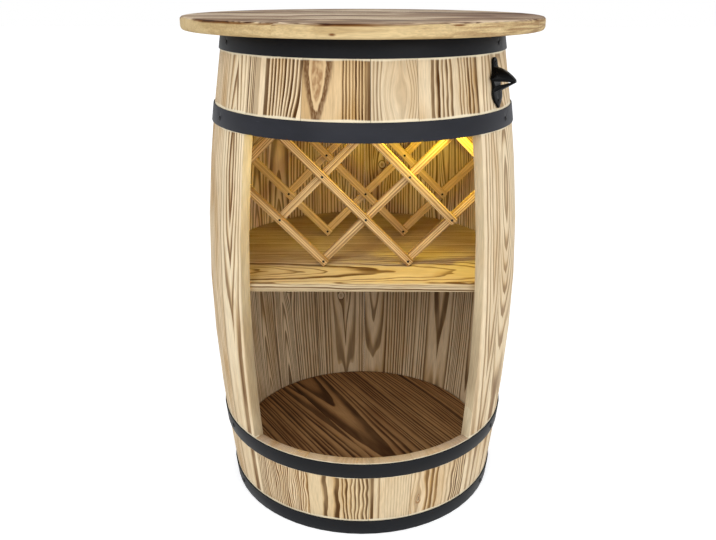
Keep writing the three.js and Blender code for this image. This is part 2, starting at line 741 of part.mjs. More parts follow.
// Lamp: a round battery lamp stuck to the inside of the wall, hidden behind the upper front staves
const lampAngle = lampSpread * degree;
const lampHeight = barrelHeight - lampDrop;
const lampWall = roomRadius(lampHeight);
const lampEdgeSeat = Math.sqrt(lampWall ** 2 - lampRadius ** 2);
const lampProfile = [
  [0, 0],
  [lampRadius, 0],
  [lampRadius, lampThickness * lampRimShare],
  [lampRadius - lampThickness * (1 - lampRimShare), lampThickness],
  [lampLensRadius, lampThickness],
  [lampLensRadius * lensShoulderShare, lampThickness + lampLensRise * lensShoulderShare],
  [0, lampThickness + lampLensRise],
];
const lamp = turnedGeometry(lampProfile, lampSegments);
lamp.rotateX(Math.PI);
const lampLean = (roomRadius(lampHeight + lampRadius) - roomRadius(lampHeight - lampRadius)) / (2 * lampRadius);
lamp.applyMatrix4(wallFrame(lampAngle, lampHeight, lampEdgeSeat - seatGap, lampLean));
addPiece('lamp', lamp, lampPlastic);

export default group;
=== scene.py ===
"""Barrel bar cabinet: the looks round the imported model, in metres."""
import json
import math
import random

import bpy
from mathutils import Matrix, Vector

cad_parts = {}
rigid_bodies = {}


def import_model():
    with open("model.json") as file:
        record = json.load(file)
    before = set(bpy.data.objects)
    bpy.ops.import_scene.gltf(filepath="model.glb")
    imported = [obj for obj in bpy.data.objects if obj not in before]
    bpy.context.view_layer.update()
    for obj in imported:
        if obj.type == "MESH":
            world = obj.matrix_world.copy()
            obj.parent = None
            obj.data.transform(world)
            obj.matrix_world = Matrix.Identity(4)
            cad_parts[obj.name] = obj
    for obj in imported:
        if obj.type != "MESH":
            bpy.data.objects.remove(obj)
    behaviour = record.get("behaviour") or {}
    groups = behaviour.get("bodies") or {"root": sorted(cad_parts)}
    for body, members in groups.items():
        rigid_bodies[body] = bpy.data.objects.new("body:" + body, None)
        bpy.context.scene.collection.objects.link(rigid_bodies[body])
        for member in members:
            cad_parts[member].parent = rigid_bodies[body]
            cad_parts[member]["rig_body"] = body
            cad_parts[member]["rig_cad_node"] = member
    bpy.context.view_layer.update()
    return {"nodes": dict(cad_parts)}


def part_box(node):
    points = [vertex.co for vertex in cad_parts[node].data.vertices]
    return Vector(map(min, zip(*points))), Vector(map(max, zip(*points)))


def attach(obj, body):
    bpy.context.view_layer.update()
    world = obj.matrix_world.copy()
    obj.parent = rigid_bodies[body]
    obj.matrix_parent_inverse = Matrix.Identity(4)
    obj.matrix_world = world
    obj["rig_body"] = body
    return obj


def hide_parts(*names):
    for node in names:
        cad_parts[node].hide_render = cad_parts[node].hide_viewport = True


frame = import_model()

# Camera
# The picture is taken from chest height in front of the cabinet, looking down a little.
# Place, tilt and lens come from fitting the barrel's edges and hoops to the picture.
camera_place = (0, -1.301, 0.869)
camera_tilt = math.radians(20.41)
camera_roll = math.radians(-0.1)
camera_data = bpy.data.cameras.new("camera")
camera_data.lens = 38.87
camera_data.shift_x = -0.0068
camera_data.shift_y = -0.0007


def new_object(name, data):
    """An object in the scene that holds a camera, a light or a mesh."""
    made = bpy.data.objects.new(name, data)
    bpy.context.scene.collection.objects.link(made)
    return made


camera = new_object("camera", camera_data)
camera.location = camera_place
camera.rotation_euler = (math.pi / 2 - camera_tilt, camera_roll, 0)
bpy.context.scene.camera = camera
bpy.context.scene.view_settings.view_transform = "Standard"


# Staves
# Sixteen softwood boards, hollowed, bulged and jointed, then burnt and brushed so that the dark
# late wood stands proud. Four are cut away at the opening, and the wood is pale by the hoops.
stave_ease = 0.0007
corner_angle = math.radians(40)
facet_angle = math.radians(35)
flat_angle = math.radians(0.2)
weld_distance = 0.00001
hoop_nodes = ["hoop_top", "hoop_upper", "hoop_lower", "hoop_bottom"]


def round_corners(piece, width, segments, clamp=True):
    """Rounds every sharp corner of a piece."""
    bevel = piece.modifiers.new("rounding", "BEVEL")
    bevel.width = width
    bevel.segments = segments
    bevel.limit_method = "ANGLE"
    bevel.angle_limit = corner_angle
    bevel.use_clamp_overlap = clamp
    bpy.ops.object.modifier_apply(modifier=bevel.name)


def eased_copy(node, name, ease, material, segments=2):
    """A copy of a CAD solid with its sharp corners rounded, which stands for the solid."""
    bpy.ops.object.select_all(action="DESELECT")
    source = frame["nodes"][node]
    source.select_set(True)
    bpy.context.view_layer.objects.active = source
    bpy.ops.object.duplicate()
    piece = bpy.context.object
    piece.name = name
    piece.data.name = name
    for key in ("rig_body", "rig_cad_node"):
        del piece[key]
    bpy.ops.object.mode_set(mode="EDIT")
    bpy.ops.mesh.select_all(action="SELECT")
    bpy.ops.mesh.remove_doubles(threshold=weld_distance)
    bpy.ops.mesh.dissolve_limited(angle_limit=flat_angle)
    bpy.ops.object.mode_set(mode="OBJECT")
    round_corners(piece, ease, segments, clamp=False)
    bpy.ops.object.shade_smooth_by_angle(angle=facet_angle)
    piece.data.materials.clear()
    piece.data.materials.append(material)
    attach(piece, "root")
    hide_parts(node)


def fill(tree, sockets, values):
    """Gives each socket its value, or a link where the value is another socket."""
    for key, value in dict(values).items():
        if isinstance(value, bpy.types.NodeSocket):
            tree.links.new(value, sockets[key])
        else:
            sockets[key].default_value = value


def add_node(tree, kind, inputs=(), **settings):
    """A shader node with its settings and its inputs."""
    made = tree.nodes.new("ShaderNode" + kind)
    for name, value in settings.items():
        setattr(made, name, value)
    fill(tree, made.inputs, inputs)
    return made


def calc(tree, operation, *values, clamp=False):
    """The result of a Math node."""
    made = add_node(tree, "Math", enumerate(values), operation=operation, use_clamp=clamp)
    return made.outputs[0]


def plus(tree, first, second):
    """The sum of two values."""
    return calc(tree, "ADD", first, second)


def minus(tree, first, second):
    """The first value less the second."""
    return calc(tree, "SUBTRACT", first, second)


def times(tree, first, second):
    """The product of two values."""
    return calc(tree, "MULTIPLY", first, second)


def slant(tree, first, second):
    """The distance from the origin to a point with two coordinates."""
    return calc(tree, "SQRT", plus(tree, times(tree, first, first), times(tree, second, second)))


def bell(tree, value, spread):
    """One at zero, falling smoothly on both sides over a spread."""
    share = calc(tree, "DIVIDE", value, spread)
    return calc(tree, "EXPONENT", times(tree, times(tree, share, share), -1.0))


def parts_of(tree, vector):
    """X, Y and Z of a vector."""
    return add_node(tree, "SeparateXYZ", {0: vector}).outputs


def vector_calc(tree, operation, first, second):
    """The result of a Vector Math node on two vectors."""
    return add_node(tree, "VectorMath", {0: first, 1: second}, operation=operation).outputs[0]


def scaled(tree, vector, size):
    """A vector or colour made longer or stronger by a value."""
    return add_node(tree, "VectorMath", {0: vector, "Scale": size}, operation="SCALE").outputs[0]


def object_place(tree):
    """The place of a point on the cabinet."""
    return add_node(tree, "TexCoord").outputs["Object"]


def blend_colour(tree, factor, first, second, mode="MIX"):
    """The colour of a Mix node."""
    inputs = {0: factor, 6: first, 7: second}
    return add_node(tree, "Mix", inputs, data_type="RGBA", blend_type=mode).outputs[2]


def ramp_up(tree, value, start, end, low=0.0, high=1.0):
    """A smooth step from low to high while the value goes from start to end."""
    inputs = {0: value, 1: start, 2: end, 3: low, 4: high}
    return add_node(tree, "MapRange", inputs, interpolation_type="SMOOTHSTEP").outputs[0]


def noise(tree, vector, scales, seed, detail=1.0, colour=False):
    """Noise whose grains are stretched by a scale for each axis."""
    stretched = vector_calc(tree, "MULTIPLY", vector, scales)
    inputs = {"Vector": stretched, "W": seed, "Scale": 1.0, "Detail": detail}
    made = add_node(tree, "TexNoise", inputs, noise_dimensions="4D")
    return made.outputs["Color" if colour else 0]


def new_group(name, inputs, outputs):
    """A shader node group with named inputs and outputs."""
    group = bpy.data.node_groups.new(name, "ShaderNodeTree")
    for label, kind, value in inputs:
        socket = group.interface.new_socket(label, in_out="INPUT", socket_type="NodeSocket" + kind)
        if value is not None:
            socket.default_value = value
    for label, kind in outputs:
        group.interface.new_socket(label, in_out="OUTPUT", socket_type="NodeSocket" + kind)
    given, result = group.nodes.new("NodeGroupInput"), group.nodes.new("NodeGroupOutput")
    return group, given.outputs, result.inputs


def wander_group():
    """Bends straight grain slowly by Wander and quickly by Ripple, both in metres."""
    tree, given, result = new_group("wandering grain", [
        ("Vector", "Vector", None),
        ("Wander", "Float", 0.006),
        ("Ripple", "Float", 0.0006),
        ("Seed", "Float", 0.0),
    ], [("Vector", "Vector")])
    place, seed = given["Vector"], given["Seed"]
    slow = noise(tree, place, (2.6, 11, 11), seed, colour=True)
    quick = noise(tree, place, (26, 60, 60), seed, colour=True)
    moved = place
    for cloud, size in ((slow, given["Wander"]), (quick, given["Ripple"])):
        shift = vector_calc(tree, "SUBTRACT", cloud, (0.5, 0.5, 0.5))
        moved = vector_calc(tree, "ADD", moved, scaled(tree, shift, size))
    tree.links.new(moved, result["Vector"])
    return tree


ring_drift = 0.45      # how fast the rings' widths change from one to the next
late_wood_end = 0.98   # where the dark part of a ring stops
faintest_line = 0.7
halo_reach = 0.3       # toasted wood before the dark part of a ring
halo_share = 0.5
wood_roughness = 0.72
line_gloss = 0.15      # the hard late wood is smoother
fibre_relief = 0.22


def softwood_group():
    """Growth rings cut by the surface: X runs along the board, Y across it and Z through it."""
    tree, given, result = new_group("softwood", [
        ("Vector", "Vector", None),
        ("Moved", "Vector", None),
        ("Rings", "Float", 0.0),
        ("Heart across", "Float", 0.0),
        ("Heart depth", "Float", 0.01),
        ("Ring gap", "Float", 0.004),
        ("Taper", "Float", 0.0),
        ("Middle", "Float", 0.0),
        ("Swell", "Float", 0.0),
        ("Run", "Float", 0.2),
        ("Reach", "Float", 0.03),
        ("Uneven", "Float", 1.6),
        ("Seed", "Float", 0.0),
        ("Late wood", "Float", 0.4),
        ("Burn", "Float", 0.8),
        ("Toasting", "Float", 0.2),
        ("Pale", "Color", (0.72, 0.5, 0.25, 1)),
        ("Toast", "Color", (0.5, 0.3, 0.12, 1)),
        ("Dark", "Color", (0.12, 0.05, 0.018, 1)),
    ], [("Color", "Color"), ("Roughness", "Float"), ("Height", "Float")])
    place, seed = given["Vector"], given["Seed"]
    parts = parts_of(tree, given["Moved"])
    across = minus(tree, parts[1], given["Heart across"])
    through = minus(tree, parts[2], given["Heart depth"])
    radius = slant(tree, across, through)
    along = minus(tree, parts[0], given["Middle"])
    swell = minus(tree, 1.0, bell(tree, along, given["Run"]))
    along = calc(tree, "MULTIPLY_ADD", minus(tree, swell, along), given["Swell"], along)
    lean = times(tree, times(tree, along, given["Taper"]), bell(tree, across, given["Reach"]))
    rings = plus(tree, calc(tree, "DIVIDE", radius, given["Ring gap"]), lean)
    rings = plus(tree, rings, given["Rings"])
    drift = calc(tree, "MULTIPLY_ADD", rings, ring_drift, seed)
    inputs = {"W": drift, "Scale": 1.0, "Detail": 0.0}
    uneven = add_node(tree, "TexNoise", inputs, noise_dimensions="1D").outputs[0]
    rings = calc(tree, "MULTIPLY_ADD", uneven, given["Uneven"], rings)
    ring = calc(tree, "FRACT", rings)
    number = plus(tree, calc(tree, "FLOOR", rings), seed)
    chance = add_node(tree, "TexWhiteNoise", {"W": number}, noise_dimensions="1D").outputs["Value"]
    strength = ramp_up(tree, chance, 0.0, 0.8, faintest_line, 1.0)
    width = times(tree, given["Late wood"], calc(tree, "MULTIPLY_ADD", chance, 0.6, 0.7))
    start = minus(tree, late_wood_end, width)
    full = calc(tree, "MULTIPLY_ADD", width, 0.4, start)
    rise = ramp_up(tree, ring, minus(tree, start, 0.12), full)
    fall = ramp_up(tree, ring, 0.94, 1.0, 1.0, 0.0)
    patchy = ramp_up(tree, noise(tree, place, (14, 60, 60), seed), 0.3, 0.6, faintest_line, 1.0)
    line = times(tree, times(tree, rise, fall), times(tree, strength, patchy))
    fibre = noise(tree, place, (40, 620, 620), seed, 2.0)
    cloud = noise(tree, place, (6, 24, 24), plus(tree, seed, 31.0), 2.0)
    toasted = times(tree, ramp_up(tree, cloud, 0.42, 0.7), given["Toasting"])
    halo = times(tree, ramp_up(tree, ring, minus(tree, start, halo_reach), start), halo_share)
    halo = times(tree, halo, given["Burn"])
    browned = calc(tree, "ADD", halo, toasted, clamp=True)
    base = blend_colour(tree, browned, given["Pale"], given["Toast"])
    base = scaled(tree, base, ramp_up(tree, fibre, 0.3, 0.7, 0.85, 1.06))
    colour = blend_colour(tree, times(tree, line, given["Burn"]), base, given["Dark"])
    roughness = calc(tree, "MULTIPLY_ADD", line, -line_gloss, wood_roughness)
    height = calc(tree, "MULTIPLY_ADD", fibre, fibre_relief, line)
    fill(tree, result, {"Color": colour, "Roughness": roughness, "Height": height})
    return tree


knot_push = 0.92       # how far the grain gives way to a branch
knot_rag = 0.35        # how ragged its outline is
knot_core = 0.42       # radius of its core, as a share of the knot


def knot_group():
    """Pushes the rings aside round a branch, and gives its core, pale ring and dark edge."""
    tree, given, result = new_group("knot", [
        ("Vector", "Vector", None),
        ("Along", "Float", 0.0),
        ("Across", "Float", 0.0),
        ("Length", "Float", 0.04),
        ("Width", "Float", 0.015),
        ("Half length", "Float", 0.009),
        ("Half width", "Float", 0.005),
        ("Point", "Float", 0.0),
        ("Band", "Float", 0.1),
    ], [("Vector", "Vector"), ("Core", "Float"), ("Ring", "Float"), ("Edge", "Float")])
    parts = parts_of(tree, given["Vector"])
    along = minus(tree, parts[0], given["Along"])
    across = minus(tree, parts[1], given["Across"])
    near = times(tree, bell(tree, along, given["Length"]), bell(tree, across, given["Width"]))
    pushed = times(tree, across, calc(tree, "MULTIPLY_ADD", near, -knot_push, 1.0))
    back = plus(tree, pushed, given["Across"])
    moved = add_node(tree, "CombineXYZ", {0: parts[0], 1: back, 2: parts[2]}).outputs[0]
    ragged = minus(tree, noise(tree, given["Vector"], (90, 190, 190), 5.0, 2.0), 0.5)
    share_along = calc(tree, "DIVIDE", along, given["Half length"])
    narrow = calc(tree, "MULTIPLY_ADD", share_along, given["Point"], 1.0)
    narrow = calc(tree, "MAXIMUM", narrow, 0.1)
    share_across = calc(tree, "DIVIDE", across, times(tree, given["Half width"], narrow))
    share = calc(tree, "MULTIPLY_ADD", ragged, knot_rag, slant(tree, share_along, share_across))
    core_edge = plus(tree, given["Band"], knot_core)
    core = ramp_up(tree, share, minus(tree, core_edge, 0.15), core_edge, 1.0, 0.0)
    core = times(tree, core, ramp_up(tree, ragged, -0.2, 0.15, 0.2, 1.0))
    ring = ramp_up(tree, share, 0.95, 1.08, 1.0, 0.0)
    outer = plus(tree, given["Band"], 1.0)
    fading = plus(tree, outer, times(tree, given["Band"], 1.6))
    faded = ramp_up(tree, share, outer, fading, 1.0, 0.0)
    edge = times(tree, ramp_up(tree, share, 0.9, 1.02), faded)
    mottle = noise(tree, given["Vector"], (130, 420, 420), 17.0, 2.0)
    edge = times(tree, edge, ramp_up(tree, mottle, 0.35, 0.6, 0.7, 1.0))
    fill(tree, result, {"Vector": moved, "Core": core, "Ring": ring, "Edge": edge})
    return tree


def stave_frame_group():
    """Places a point of the wall on its flat board: up the stave, round the wall and into it."""
    sockets = [("Vector", "Vector", None)], [("Vector", "Vector")]
    tree, given, result = new_group("stave frame", *sockets)
    parts = parts_of(tree, given["Vector"])
    turn = calc(tree, "ARCTAN2", parts[0], times(tree, parts[1], -1.0))
    up = minus(tree, parts[2], bilge_height)
    face = plus(tree, times(tree, times(tree, up, up), -wall_curve), bilge_radius)
    into = minus(tree, face, slant(tree, parts[0], parts[1]))
    across = times(tree, turn, board_radius)
    board = add_node(tree, "CombineXYZ", {0: parts[2], 1: across, 2: into}).outputs[0]
    tree.links.new(board, result["Vector"])
    return tree


def end_grain(tree, axis, turn=0.0):
    """One on faces square to an axis, once the board is turned about Z."""
    normal = add_node(tree, "TexCoord").outputs["Normal"]
    normal = add_node(tree, "Mapping", {"Vector": normal, "Rotation": (0, 0, turn)}).outputs[0]
    return ramp_up(tree, calc(tree, "ABSOLUTE", parts_of(tree, normal)[axis]), 0.55, 0.85)


shadow_wobble = 0.004
shadow_start = 0.0012  # the pale line runs this far past a hoop's edge
shadow_end = 0.004
wall_skin = 0.006      # and this far into the wood


def hoop_shadow_group():
    """One on open wood, falling to zero beside each hoop, where the flame did not reach."""
    sockets = [("Vector", "Vector", None)], [("Open", "Float")]
    tree, given, result = new_group("hoop shadow", *sockets)
    parts = parts_of(tree, given["Vector"])
    wobble = minus(tree, noise(tree, given["Vector"], (4, 22, 4), 3.0, 0.0), 0.5)
    height = calc(tree, "MULTIPLY_ADD", wobble, shadow_wobble, parts[0])
    covered = 0.0
    for node in hoop_nodes:
        low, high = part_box(node)
        middle, half = (low.z + high.z) / 2, (high.z - low.z) / 2
        away = calc(tree, "ABSOLUTE", minus(tree, height, middle))
        near = ramp_up(tree, away, half + shadow_start, half + shadow_end, 1.0, 0.0)
        covered = calc(tree, "MAXIMUM", covered, near)
    outside = ramp_up(tree, parts[2], wall_skin, 1.5 * wall_skin, 1.0, 0.0)
    standing = minus(tree, 1.0, end_grain(tree, 2))
    covered = times(tree, times(tree, covered, outside), standing)
    tree.links.new(minus(tree, 1.0, covered), result["Open"])
    return tree


bilge_height = 0.386   # where the barrel is widest
bilge_radius = 0.266
wall_curve = 0.225     # how fast the wall draws in above and below
board_radius = 0.25    # turns angles round the barrel into lengths
wandering = wander_group()
softwood = softwood_group()
knot = knot_group()
stave_frame = stave_frame_group()
hoop_shadow = hoop_shadow_group()


def place_group(tree, group, inputs):
    """The outputs of a shader node group placed in a material with its own values."""
    made = tree.nodes.new("ShaderNodeGroup")
    made.node_tree = group
    fill(tree, made.inputs, inputs)
    return made.outputs


def wandered(tree, board, figure, wander, ripple):
    """A place on a board, moved as its figure's grain wanders."""
    inputs = {"Vector": board, "Wander": figure.get("wander", wander),
              "Ripple": figure.get("ripple", ripple), "Seed": figure["seed"]}
    return place_group(tree, wandering, inputs)["Vector"]


def new_material(name):
    """A material with one Principled shader, and its tree."""
    material = bpy.data.materials.new(name)
    material.use_nodes = True
    tree = material.node_tree
    return material, tree, tree.nodes["Principled BSDF"]


def finish(tree, shader, colour, roughness, height, relief, strength=0.6, shine=0.08):
    """Gives a shader its colour, roughness, relief and shine."""
    bump = add_node(tree, "Bump", {"Height": height, "Strength": strength, "Distance": relief})
    fill(tree, shader.inputs, {"Base Color": colour, "Roughness": roughness,
                               "Normal": bump.outputs[0], "Specular IOR Level": shine})


pale_stave = (0.86, 0.69, 0.46, 1)
toasted_stave = (0.50, 0.28, 0.09, 1)
burnt_line = (0.070, 0.026, 0.004, 1)
soft_line = (0.13, 0.052, 0.011, 1)
knot_colour = (0.30, 0.15, 0.06, 1)
knot_band = (0.13, 0.055, 0.018, 1)
sawn_end = (0.60, 0.45, 0.31, 1)
jointed_tone = (0.80, 0.82, 0.81, 1)
covered_pale = (0.90, 0.78, 0.56, 1)
plain_gap = 1000.0     # no rings of its own, where the zones give them
brushed_relief = 0.0005


def ring_zones(tree, moved, middle, zones):
    """Ring number, burning and late wood across a stave, read between its named angles."""
    turns = [math.radians(zone[0] - middle) * board_radius for zone in zones]
    across = parts_of(tree, moved)[1]
    share = add_node(tree, "MapRange", {0: across, 1: turns[0], 2: turns[-1]}).outputs[0]
    ramp = add_node(tree, "ValToRGB", {0: share})
    elements = ramp.color_ramp.elements
    total = max(zone[1] for zone in zones)
    for number, (turn, zone) in enumerate(zip(turns, zones)):
        position = (turn - turns[0]) / (turns[-1] - turns[0])
        if number == 0:
            element = elements[0]
        elif number == len(zones) - 1:
            element = elements[len(elements) - 1]
        else:
            element = elements.new(position)
        element.color = (zone[1] / total, zone[2], zone[3], 1)
    parts = add_node(tree, "SeparateColor", {0: ramp.outputs[0]}).outputs
    return times(tree, parts[0], total), parts[1], parts[2]


def stave_material(name, middle, figure):
    """Burnt and brushed softwood on one stave, with its own rings and knots."""
    material, tree, shader = new_material(name)
    inputs = {"Vector": object_place(tree), "Rotation": (0, 0, -math.radians(middle))}
    turned = add_node(tree, "Mapping", inputs).outputs[0]
    flat_board = place_group(tree, stave_frame, {"Vector": turned})["Vector"]
    board = flat_board
    branches = []
    for branch in figure.get("knots", []):
        up, side, length, width = branch[:4]
        values = {"Vector": board, "Along": up, "Length": length, "Width": width,
                  "Across": math.radians(side - middle) * board_radius}
        if len(branch) > 4:
            values.update({"Half length": branch[4], "Half width": branch[5], "Point": branch[6],
                           "Band": figure.get("band", 0.1)})
        made = place_group(tree, knot, values)
        board = made["Vector"]
        if len(branch) > 4:
            branches.append(made)
    shadow = place_group(tree, hoop_shadow, {"Vector": flat_board})["Open"]
    pale = figure.get("pale", pale_stave)
    end = end_grain(tree, 2)
    moved = wandered(tree, board, figure, 0.006, 0.0012)
    rings, burn, late = 0.0, figure.get("burn", 0.85), figure.get("late", 0.4)
    if "zones" in figure:
        rings, burn, late = ring_zones(tree, moved, middle, figure["zones"])
    wood = place_group(tree, softwood, {
        "Vector": board,
        "Moved": moved,
        "Rings": rings,
        "Heart across": math.radians(figure.get("heart", middle) - middle) * board_radius,
        "Heart depth": figure.get("depth", 0.02),
        "Ring gap": figure.get("gap", plain_gap),
        "Taper": figure.get("taper", 0.0),
        "Middle": figure.get("up", 0.45),
        "Swell": figure.get("swell", 0.0),
        "Run": figure.get("run", 0.2),
        "Reach": figure.get("reach", 0.02),
        "Uneven": 0.0 if "zones" in figure else figure.get("uneven", 1.0),
        "Seed": figure["seed"],
        "Late wood": late,
        "Burn": times(tree, calc(tree, "MULTIPLY_ADD", end, -0.85, 1.0), burn),
        "Toasting": figure.get("toasting", 0.25),
        "Pale": blend_colour(tree, end, pale, sawn_end),
        "Toast": toasted_stave,
        "Dark": figure.get("dark", burnt_line),
    })
    colour = wood["Color"]
    layers = (("Ring", figure.get("ring", 0.8), pale),
              ("Core", 0.85, figure.get("core", knot_colour)),
              ("Edge", 0.95, figure.get("edge", burnt_line)))
    for branch in branches:
        for name, share, tone in layers:
            colour = blend_colour(tree, times(tree, branch[name], share), colour, tone)
    colour = blend_colour(tree, shadow, covered_pale, colour)
    joint = end_grain(tree, 0, -math.radians(middle))
    colour = blend_colour(tree, joint, colour, jointed_tone, mode="MULTIPLY")
    finish(tree, shader, colour, wood["Roughness"], wood["Height"], brushed_relief)
    return material


# Joints of the short staves and widths of the full ones, in degrees round from the front.
front_edges = [-45.0, -21.0, 2.6, 19.0, 45.0]
full_widths = [11, 23, 24, 25, 25, 26, 25, 25, 25, 24, 23, 14]
# Each zone gives an angle, the rings counted up to it, their burning and their late wood.
# Each knot gives its height and angle and how far it bends the grain along and across, and, where
# the branch itself shows, its half length, its half width and how it narrows upwards.
upper_figures = [
    {"seed": 3.0, "toasting": 0.5, "wander": 0.003, "ripple": 0.002,
     "knots": [(0.668, -20.0, 0.050, 0.030)],
     "zones": [(-45, 0.1, 0.7, 0.5), (-43.9, 1.05, 1.0, 0.45), (-42.7, 2.05, 1.0, 0.5),
               (-41.7, 3.05, 1.0, 0.5), (-41, 4.05, 1.0, 0.5), (-40.9, 4.25, 0.45, 0.9),
               (-38.7, 4.95, 0.45, 0.9), (-38.3, 5.1, 0.1, 0.3), (-36.3, 5.2, 0.1, 0.3),
               (-36.1, 5.3, 0.9, 0.8), (-34.4, 5.95, 0.9, 0.8), (-34, 6.1, 1.0, 0.5),
               (-21, 15.0, 1.0, 0.54)]},
    {"seed": 8.0, "toasting": 0.8, "wander": 0.002, "ripple": 0.002, "band": 0.36,
     "edge": knot_band, "pale": (0.71, 0.51, 0.28, 1),
     "knots": [(0.7465, -15.6, 0.040, 0.010, 0.046, 0.0126, 0.45)],
     "zones": [(-21, 0.1, 0.4, 0.3), (-19.8, 0.6, 0.1, 0.3), (-10.2, 0.6, 0.1, 0.3),
               (-9.5, 1.1, 0.2, 0.3), (-7.6, 1.1, 1.0, 0.5), (-7.0, 1.3, 1.0, 0.5),
               (0.2, 8.0, 1.0, 0.54), (1.3, 9.0, 0.9, 0.9), (2.6, 10.0, 0.9, 0.9)]},
    {"seed": 14.0, "toasting": 0.3, "wander": 0.002, "pale": (0.71, 0.575, 0.385, 1),
     "knots": [(0.726, 12.6, 0.035, 0.022)],
     "zones": [(2.6, 0.1, 0.6, 0.4), (3.2, 0.3, 0.6, 0.4), (7.2, 3.1, 0.6, 0.4),
               (7.8, 3.15, 0.15, 0.3), (13.5, 6.1, 0.15, 0.3), (14.0, 6.2, 0.5, 0.3),
               (18.3, 10.1, 0.5, 0.3), (19, 10.15, 0.1, 0.3)]},
    {"seed": 5.0, "toasting": 0.5, "wander": 0.003, "ripple": 0.008,
     "pale": (0.74, 0.595, 0.395, 1),
     "zones": [(19, 0.1, 0.1, 0.3), (23.7, 0.35, 0.3, 0.5), (23.9, 0.5, 1.0, 0.55),
               (25.3, 1.0, 1.0, 0.55), (27.4, 2.0, 1.0, 0.45), (29, 3.0, 0.8, 0.4),
               (30.7, 4.0, 1.0, 0.45), (32.5, 5.0, 1.0, 0.6), (35.2, 5.4, 0.4, 0.3),
               (36.4, 6.0, 1.0, 0.5), (37.8, 7.0, 0.6, 0.4), (39.2, 8.0, 1.0, 0.5),
               (40.9, 9.0, 1.0, 0.5), (42.4, 10.0, 0.9, 0.5), (43.6, 10.4, 0.8, 0.5),
               (45, 11.0, 1.0, 0.8)]},
]
lower_figures = [
    {"seed": 21.0, "wander": 0.003, "ripple": 0.012, "toasting": 0.7, "dark": soft_line,
     "zones": [(-45, 0.1, 1.0, 0.55), (-22.5, 25.0, 0.9, 0.5), (-21, 26.0, 1.0, 0.6)]},
    {"seed": 29.0, "wander": 0.002, "ripple": 0.012, "toasting": 0.3,
     "pale": (0.76, 0.59, 0.36, 1),
     "zones": [(-21, 0.1, 0.1, 0.3), (-16.2, 0.1, 0.4, 0.6), (-15.6, 0.2, 1.0, 0.62),
               (-13, 1.05, 1.0, 0.62), (-11.2, 1.2, 1.0, 0.55), (-8.8, 2.05, 1.0, 0.55),
               (-8.2, 2.1, 1.0, 0.45), (2.2, 9.0, 0.9, 0.5), (2.6, 9.1, 0.5, 0.4)]},
    {"seed": 31.0, "wander": 0.002, "toasting": 0.25, "pale": (0.74, 0.59, 0.385, 1),
     "zones": [(2.6, 0.1, 1.0, 0.6), (4.5, 1.05, 1.0, 0.75), (5.2, 1.2, 0.6, 0.3),
               (7, 2.1, 0.5, 0.3), (8, 2.2, 0.2, 0.3), (15, 8.1, 0.2, 0.3), (19, 12.1, 0.4, 0.3)]},
    {"seed": 36.0, "wander": 0.003, "ripple": 0.009, "toasting": 0.4, "band": 0.3, "ring": 0.2,
     "pale": (0.80, 0.63, 0.41, 1), "core": burnt_line, "edge": knot_colour,
     "knots": [(0.062, 22.5, 0.03, 0.014, 0.0075, 0.0026, -0.5)],
     "zones": [(19, 0.1, 0.4, 0.3), (23, 2.2, 0.4, 0.3), (24, 2.3, 1.0, 0.6),
               (26.2, 3.05, 1.0, 0.6), (28.7, 4.05, 1.0, 0.6), (30.9, 5.05, 1.0, 0.6),
               (31.6, 5.1, 0.3, 0.3), (37, 7.3, 0.4, 0.3), (38.5, 8.0, 1.0, 0.55),
               (45, 13.0, 1.0, 0.6)]},
]
full_figures = {
    1: {"seed": 41.0, "wander": 0.002, "toasting": 0.3, "dark": soft_line,
        "pale": (0.83, 0.67, 0.45, 1),
        "heart": 51.9, "taper": 2.7, "swell": 1.0, "run": 0.3, "reach": 0.024, "up": 0.55,
        "zones": [(45, 3.6, 0.4, 0.25), (47.1, 2.88, 0.6, 0.3), (48.9, 1.88, 0.6, 0.3),
                  (50.3, 0.88, 0.65, 0.32), (51.9, 0.25, 0.65, 0.32), (53.6, 0.88, 0.65, 0.32),
                  (55.1, 1.88, 0.55, 0.3), (56, 2.4, 0.4, 0.25)]},
    2: {"seed": 44.0, "wander": 0.002, "toasting": 0.3, "dark": soft_line,
        "pale": (0.87, 0.71, 0.48, 1),
        "heart": 61.5, "taper": 6.4, "swell": 1.0, "run": 0.2, "reach": 0.04, "up": 0.565,
        "zones": [(56, 3.2, 0.4, 0.25), (57.7, 1.88, 0.6, 0.3), (59.5, 0.88, 0.7, 0.35),
                  (61.5, 0.5, 0.75, 0.45), (63.5, 0.88, 0.7, 0.35), (65.5, 1.88, 0.6, 0.32),
                  (67.5, 2.88, 0.5, 0.3), (79, 8.0, 0.4, 0.3)]},
    11: {"heart": 284, "gap": 0.0056, "depth": 0.010, "taper": -9, "late": 0.35, "burn": 0.6,
         "seed": 51.0, "dark": soft_line, "toasting": 0.6},
    12: {"seed": 54.0, "wander": 0.002, "toasting": 0.25, "dark": soft_line,
         "pale": (0.90, 0.74, 0.50, 1),
         "heart": 308.4, "taper": 2.9, "swell": 1.0, "run": 0.165, "reach": 0.018, "up": 0.605,
         "zones": [(301, 3.9, 0.4, 0.3), (303, 2.88, 0.6, 0.3), (305, 1.88, 1.0, 0.4),
                   (306.8, 0.88, 1.0, 0.38), (308.4, 0.2, 1.0, 0.45), (309.8, 0.88, 1.0, 0.38),
                   (311.1, 1.88, 1.0, 0.36), (312.6, 2.88, 0.7, 0.3), (313.9, 3.88, 0.5, 0.3),
                   (315, 4.6, 0.4, 0.3)]},
}

for row, figures in (("upper", upper_figures), ("lower", lower_figures)):
    for number, figure in enumerate(figures, 1):
        middle = (front_edges[number - 1] + front_edges[number]) / 2
        wood = stave_material(f"short stave {row} {number}", middle, figure)
        place = f"{row}_{number}"
        eased_copy(f"stave_front_{place}", f"short_stave_{place}", stave_ease, wood)

